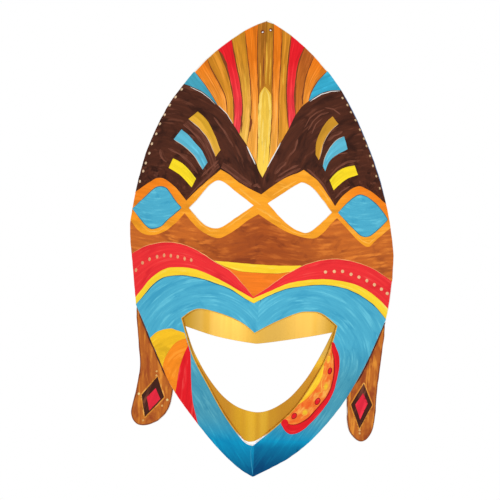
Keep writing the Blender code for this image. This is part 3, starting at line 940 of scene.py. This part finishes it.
for side, outline, frame_line, centre in (
        ("left", EAR_LEFT, [(-82.8, 80.5), (-76.6, 63.4), (-92.4, 46.1), (-95.7, 64.7)],
         [(-84, 70.8), (-79.7, 61.8), (-88.8, 51.6), (-91.4, 62.9)]),
        ("right", EAR_RIGHT, [(90.7, 80.5), (98.4, 62.6), (88.3, 42.6), (80.4, 62.4)],
         [(90.3, 72.4), (94.6, 64), (88.6, 50), (84, 62.5)])):
    slot = side + "_ear"
    piece("ear_" + side, [area(outline)], card_edges(EAR_CARD, SHEET - 0.05), card, slot,
          steady=True, node=slot)
    piece("ear_paint_" + side, [area(grown(outline, -0.25))], film(0.05, EAR_CARD), ear_paint, slot,
          strokes=straight(92 if side == "left" else 88))
    sharp = [p for corner in frame_line for p in (corner, corner)]
    piece("ear_halo_" + side, [area(grown(drawn(sharp[1:], closed=True), 1.0), step=2)],
          film(0.07, EAR_CARD), halo_paint, slot, strokes=straight(70))
    piece("ear_frame_" + side, [area(drawn(sharp[1:], closed=True), step=2)],
          film(0.09, EAR_CARD), frame_paint, slot, strokes=straight(70))
    piece("ear_edge_" + side, [ribbon(grown(outline, -0.6) + [outline[0]], 0.9, ends=0)],
          film(0.08, EAR_CARD), frame_edge, slot)
    # A dark line on the ear just outside the jaw edge: painted shadow cast by the face sheet's edge.
    shadow_line = [p for p in (EDGE_LEFT if side == "left" else EDGE_RIGHT) if 80 < p[1] < 134]
    piece("ear_painted_shadow_" + side, [ribbon(shifted(shadow_line, -1.5 if side == "left" else 1.5), 1.3)],
          film(0.10, EAR_CARD), frame_paint, slot)
    sharp = [p for corner in centre for p in (corner, corner)]
    piece("ear_diamond_" + side, [area(drawn(sharp[1:], closed=True), step=2)],
          film(0.13, EAR_CARD), pink_red, slot, strokes=straight(70))

# Raised dots
DOT_RISE = 0.25  # how far the middle of a dot stands above its rim
beige = dab_material("beige_dots", (0.72, 0.50, 0.30))
dull = dab_material("dull_dots", (0.58, 0.38, 0.20))
peach = dab_material("peach_dots", (0.90, 0.50, 0.24))
coral = dab_material("coral_dots", (0.86, 0.33, 0.14))
pale = dab_material("pale_dots", (0.90, 0.66, 0.24))
faint = dab_material("faint_dots", (0.78, 0.42, 0.11))


def dots(name, spots, rx, rz, material, turns=(0, 0), slot="face_sheet", base=CARD + BASE):
    """A row of raised dabs that turn evenly from the first angle to the second."""
    shapes = []
    for i, (x, z) in enumerate(spots):
        turn = turns[0] + (turns[1] - turns[0]) * i / max(1, len(spots) - 1)
        vary = 1 + 0.12 * noise.noise(Vector((x, z, 1)))
        shapes.append(oval(x, z, rx * vary, rz * (2 - vary), turn))
    piece(name, shapes, [(base + 0.08, -0.08), (base + 0.03, 0.04), (base - 0.03, 0.04)],
          material, slot, crown=DOT_RISE, steady=True)


dots("dots_brow_left",
     [(-69.9, 320), (-74.7, 313.4), (-79.4, 306.5), (-83.3, 298.4), (-87, 290.7), (-89.8, 282.3),
      (-93.1, 274), (-95, 266), (-97.7, 257.8), (-99.6, 251), (-102.1, 242.4)],
     0.85, 1.25, beige, (-40, -12))
dots("dots_brow_right",
     [(64, 317.2), (68.2, 311.5), (71.4, 305.7), (75.4, 299.2), (79.3, 291.4), (82.9, 284.1),
      (85.3, 278.1), (88.5, 269.9), (91.2, 261.8), (94.3, 253.3), (97.5, 243.4)],
     0.75, 1.1, dull, (38, 14))
dots("dots_cheek_left",
     [(-102.8, 168.6), (-97.6, 174.8), (-91.8, 178), (-85.6, 180.3), (-79.8, 181.6),
      (-74.2, 181.5), (-68.4, 180.8), (-62.6, 179.4), (-57.1, 178.5)],
     1.05, 1.6, coral, (-8, 8), base=CARD + SECOND)
dots("dots_cheek_right",
     [(54.6, 172.3), (61.9, 173), (68.8, 173.3), (75.9, 171.1), (82.6, 169), (89.3, 166.3),
      (95.7, 163.1), (101.7, 159.6), (106.7, 156.2)],
     1.3, 1.4, peach, (0, 0), base=CARD + SECOND)
dots("dots_ear_left", [(-98.1, 65.4), (-73.9, 61.3)], 0.95, 1.05, pale, slot="left_ear",
     base=BEHIND)
dots("dots_ear_left_faint", [(-83.7, 84.9), (-83.7, 81.4), (-78.1, 56.3), (-93.7, 43.3)],
     0.8, 0.9, faint, slot="left_ear", base=BEHIND)
dots("dots_ear_right",
     [(88.6, 38.6), (88.5, 41.2)], 0.85, 1.0, faint, slot="right_ear", base=BEHIND)

# Lines and small strokes
fine_dark = paint("fine_dark", (0.22, 0.055, 0.014), seed=51, along=12, across=1)
fine_white = paint("fine_white", WHITE, seed=52, along=12, across=1)
fine_teal = paint("fine_teal", (0.012, 0.13, 0.17), seed=53, along=12, across=1)
fine_pale = paint("fine_pale", (0.90, 0.45, 0.17), seed=54, along=12, across=1)
fine_blue = paint("fine_blue", (0.085, 0.21, 0.42), seed=55, along=12, across=1)
brown_light = paint("brown_light", (0.115, 0.034, 0.019), light=(0.21, 0.073, 0.045),
                    dark=(0.072, 0.020, 0.010), lights=0.9, darks=0.9, along=24, across=1.1,
                    seed=56)
put("fan_lines",
    [ribbon(line, w) for line, w in zip(
        FAN, (0.5, 0.9, 1.1, 1.0, 0.8, 0.8, 0.8, 0.7, 1.0, 1.1, 0.9, 0.7))],
    fine_dark, LINES)
put("fan_smudges",
    ribbons(
        ([(-40.2, 353.4), (-37.6, 349.6), (-34, 342), (-31, 333)], 2.6),
        ([(-20, 300), (-18.8, 292), (-19.4, 284.5)], 1.3),
        ([(-12.4, 300), (-11, 294), (-12, 286)], 1.8),
        ([(-2.4, 353), (-2.6, 338), (-2.4, 324)], 1.0),
        ([(25, 330), (24.4, 318), (25, 306)], 1.5),
        ([(31.6, 325), (30.6, 316), (31.4, 309.5)], 1.4), ends=0.5),
    fine_dark, THIRD)
put("fan_gold_lines",
    ribbons(
        ([(-0.6, 362), (0, 345), (-0.2, 326)], 1.4), ([(3, 350), (3.2, 338), (3, 325)], 0.9),
        ([(-5.4, 345), (-4.8, 335), (-4.6, 322)], 0.9),
        ([(-18, 336), (-16.6, 322), (-15.8, 306)], 1.2), ([(14.6, 345), (14, 325)], 1.0), ends=0.3),
    paint("fan_gold_line", (0.76, 0.40, 0.04), seed=59, along=18, across=1), THIRD)
put("flame_strokes",
    ribbons(
        ([(-1.2, 323), (-3.6, 318), (-4.3, 309), (-4.4, 292), (-4, 276)], 2.2),
        ([(-0.8, 323), (2.4, 318), (3.8, 309), (4.2, 294), (3.6, 276)], 2.0),
        ([(-1.4, 298), (-1.6, 284), (-1, 270)], 1.5), ([(1, 282), (0.8, 270), (0.2, 260)], 1.2), ends=0.3),
    paint("flame_pale", (0.92, 0.64, 0.13), light=(0.95, 0.74, 0.26), seed=60, along=18, across=1),
    LINES + 0.02)
put("white_slivers",
    [ribbon([(-14.2, 274.6), (-10, 266.4), (-6.4, 259.4)], 0.9),
     ribbon([(14, 278.4), (9, 268.6), (3.2, 257)], 0.8),
     ribbon([(36.5, 313.1), (46.7, 319.9), (54.8, 322.4), (61.9, 323)], 0.6),
     ribbon([(-41, 307.6), (-46, 312.6), (-53, 317.8), (-63, 322.2)], 0.4),
     ribbon([(-39.2, 307.8), (-31.4, 300.4), (-26.4, 292.6)], 0.45)],
    fine_white, LINES + 0.02)
put("teal_lines",
    [ribbon(SKY_TOP_LEFT, 0.7), ribbon(SKY_TOP_RIGHT, 0.6),
     ribbon(DIAMOND_LEFT + DIAMOND_LEFT[:1], 0.6), ribbon(DIAMOND_RIGHT + DIAMOND_RIGHT[:1], 0.6)],
    fine_teal, LINES - 0.01)
put("pale_lines", [ribbon(RED_LEFT, 0.4), ribbon(RED_RIGHT, 0.4)], fine_pale, LINES - 0.02)
put("orange_strokes",
    ribbons(
        ([(-59, 218.6), (-50, 208.6), (-42, 203.4), (-34, 203.4)], 1.6),
        ([(-30, 205.4), (-20, 213), (-8, 222)], 1.5),
        ([(-5, 223.6), (4, 219.6), (16, 212)], 1.8),
        ([(16, 210.6), (26, 205), (34, 202.6), (42, 203.6)], 1.3),
        ([(-57, 230.6), (-48, 241), (-40, 247.6)], 1.3),
        ([(-20, 239.6), (-10, 232), (0, 225.4)], 1.6),
        ([(8, 234), (18, 241), (29, 247.6)], 1.4),
        ([(46, 243.6), (52.4, 236), (58.8, 227)], 1.3),
        ([(-100, 206.6), (-93, 201), (-85, 201.6), (-77, 206.6)], 1.2),
        ([(76, 206.6), (84, 199.4), (90, 197), (97, 203.6)], 1.2), ends=0.3),
    paint("orange_light", (0.99, 0.43, 0.045), light=(0.99, 0.51, 0.10), seed=61, lights=0.5,
          along=16, across=1), THIRD - 0.01)
# A lighter blue line down the fold of the chin: painted highlight along its ridge.
put("chin_ridge_highlight",
    ribbon([(-1, 25.6), (-2.4, 21.9), (-2.2, 16), (-1.4, 10.2), (-0.5, 5.9), (0.1, 1.6)], 0.45),
    paint("ridge_highlight_blue", (0.045, 0.36, 0.58), seed=57), LINES)
# A thin blue line just inside the upper right edge: painted reflection along the cut edge.
put("edge_reflection_line", ribbon(edge("right", 236, 322, 0.35), 0.4), fine_blue, LINES)
# Dark rings round the hanging holes and over their walls: painted shade round and inside the holes.
put("hole_shadow_rims", [ribbon(round_hole(*h, 1.45) + [(h[0] + 1.45, h[1])], 0.7, ends=0)
                  for h in HOLES], fine_dark, LINES + 0.02)
piece("hole_shadow_linings", [area(round_hole(*h, 1.04), [round_hole(*h, 0.78)]) for h in HOLES],
      [(CARD + BASE, -0.03), (CARD - SHEET + 0.1, -0.03)], fine_dark, "face_sheet", steady=True)
put("bar_edges",
    [ribbon(drawn(BARS["gold_left"][0]), 0.5), ribbon(drawn(BARS["blue_left"][0]), 0.5),
     ribbon(drawn(BARS["gold_right"][0]), 0.4), ribbon(drawn(BARS["blue_right"][1]), 0.4)],
    paint("fine_cream", (0.62, 0.46, 0.34), seed=58), LINES)
put("brown_bands",
    [band(drawn([(-68, 290.4), (-61, 285), (-55, 279), (-49.4, 271.4), (-45, 262), (-42, 251)]),
          drawn([(-63.6, 294.4), (-53.4, 286.4), (-46.6, 278), (-42.2, 270), (-39, 262),
                 (-38, 254)])),
     band(drawn([(-35, 255.6), (-28, 251.8), (-19.6, 245.4), (-10, 240.4)]),
          drawn([(-33.6, 260.4), (-26, 256.2), (-17.6, 250), (-8.4, 244)])),
     band(drawn([(-61.8, 229.6), (-55.6, 237), (-45.8, 246.6), (-36, 256.2)]),
          drawn([(-60.4, 232.4), (-53.8, 241.6), (-45.8, 250), (-37.4, 259.4)]))],
    brown_light, THIRD - 0.02)
put("brown_strokes",
    ribbons(
        ([(-80, 271), (-69, 266), (-60.5, 259), (-53.6, 250)], 2.2),
        ([(-51, 248), (-44.6, 255), (-37, 262)], 1.8),
        ([(-8, 241.6), (-4.4, 243), (-1.6, 240)], 3.2),
        ([(9.6, 245.2), (20, 252.2), (31.4, 257.8)], 2.6),
        ([(12, 250), (21, 256.4), (30, 260.6)], 1.8),
        ([(36, 257.6), (42.6, 253), (49.6, 245.6), (57.6, 232.6)], 2.0),
        ([(36, 289), (40, 297), (46, 302.6), (53.4, 305)], 1.2),
        ([(33, 291), (37.4, 299.6), (43.6, 305), (50, 307.6)], 1.0),
        ([(39, 286), (42.4, 294.6), (47.6, 299.6)], 1.0),
        ([(9.4, 252), (14, 258.6), (19, 262.6)], 4.2),
        ([(20, 266), (25, 273), (28, 282)], 2.2),
        ([(55.4, 252), (61.4, 259.6), (70, 264.4), (77.4, 265.6)], 2.2),
        ([(57, 250), (63, 256), (71, 260.4), (78, 261.6)], 1.0),
        ([(52.6, 281), (57, 286), (65, 289.6)], 3.0),
        ([(-42.6, 298), (-33.4, 286.6), (-25, 273)], 1.6),
        ([(-86, 270), (-84, 264), (-80, 259)], 4.0),
        ([(49, 309), (57, 307.6), (63, 303)], 1.4),
        ([(56, 266.6), (62, 270.6), (70, 272)], 1.4),
        ([(60, 233), (66, 240), (73, 244.6)], 1.2), ends=0.2),
    brown_light, THIRD - 0.01)


# Studio, in metres: soft light, plain pale floor, the photo's angle
MIDDLE = Vector((0, 0, -0.18))  # the middle of the mask
FLOOR_R, FLOOR_SIDES, FLOOR_Z = 2.2, 96, -0.8
CAMERA = Vector((-0.0077, -12.0, -0.182))
HALF_VIEW = 0.2077  # half of the width seen at the mask
LEAN = math.radians(1.93)  # how far the mask leans in the photo


def lamp(name, place, size, power):
    """A soft rectangular lamp turned to the middle of the mask."""
    data = bpy.data.lights.new(name, "AREA")
    data.shape = "RECTANGLE"
    data.size, data.size_y = size
    data.energy = power
    obj = bpy.data.objects.new(name, data)
    obj.location = place
    obj.rotation_euler = (MIDDLE - Vector(place)).to_track_quat("-Z", "Y").to_euler()
    bpy.context.scene.collection.objects.link(obj)


lamp("key_left", (-0.68, -2.4, 0.1), (1.05, 1.5), 12)
lamp("fill_right", (1.22, -2.2, 0.1), (0.75, 1.5), 8)

# The camera sees a white backdrop, and the mask is lit by a slightly dimmer one.
world = bpy.data.worlds.new("studio")
bpy.context.scene.world = world
world.use_nodes = True
tree = world.node_tree
tree.nodes.clear()
seen = node(tree, "ShaderNodeBackground", Color=(1, 1, 1, 1), Strength=1.0)
soft = node(tree, "ShaderNodeBackground", Color=(1, 1, 1, 1), Strength=0.82)
path = node(tree, "ShaderNodeLightPath")
mix = node(tree, "ShaderNodeMixShader")
out = node(tree, "ShaderNodeOutputWorld")
tree.links.new(path.outputs["Is Camera Ray"], mix.inputs[0])
tree.links.new(soft.outputs[0], mix.inputs[1])
tree.links.new(seen.outputs[0], mix.inputs[2])
tree.links.new(mix.outputs[0], out.inputs[0])

floor_mesh = bpy.data.meshes.new("floor")
turns = [2 * math.pi * i / FLOOR_SIDES for i in range(FLOOR_SIDES)]
floor_mesh.from_pydata(
    [(0, 0, 0)] + [(FLOOR_R * math.cos(a), FLOOR_R * math.sin(a), 0) for a in turns], [],
    [(0, 1 + i, 1 + (i + 1) % FLOOR_SIDES) for i in range(FLOOR_SIDES)])
floor_material, _, floor_shader = shader_of("studio_floor")
floor_shader.inputs["Base Color"].default_value = (0.8, 0.8, 0.79, 1)
floor_shader.inputs["Roughness"].default_value = 0.9
floor_mesh.materials.append(floor_material)
floor = bpy.data.objects.new("studio_floor", floor_mesh)
floor.location = (0, 0, FLOOR_Z)
bpy.context.scene.collection.objects.link(floor)

camera_data = bpy.data.cameras.new("photo_camera")
camera_data.sensor_width = 36
camera_data.angle = 2 * math.atan(HALF_VIEW / -CAMERA.y)
camera = bpy.data.objects.new("photo_camera", camera_data)
back = Vector((0, -1, 0))
up = Vector((-math.sin(LEAN), 0, math.cos(LEAN)))
camera.matrix_world = Matrix.Translation(CAMERA) @ Matrix(
    [up.cross(back), up, back]).transposed().to_4x4()
bpy.context.scene.collection.objects.link(camera)
bpy.context.scene.camera = camera
bpy.context.scene.view_settings.view_transform = "Standard"

bpy.context.view_layer.update()
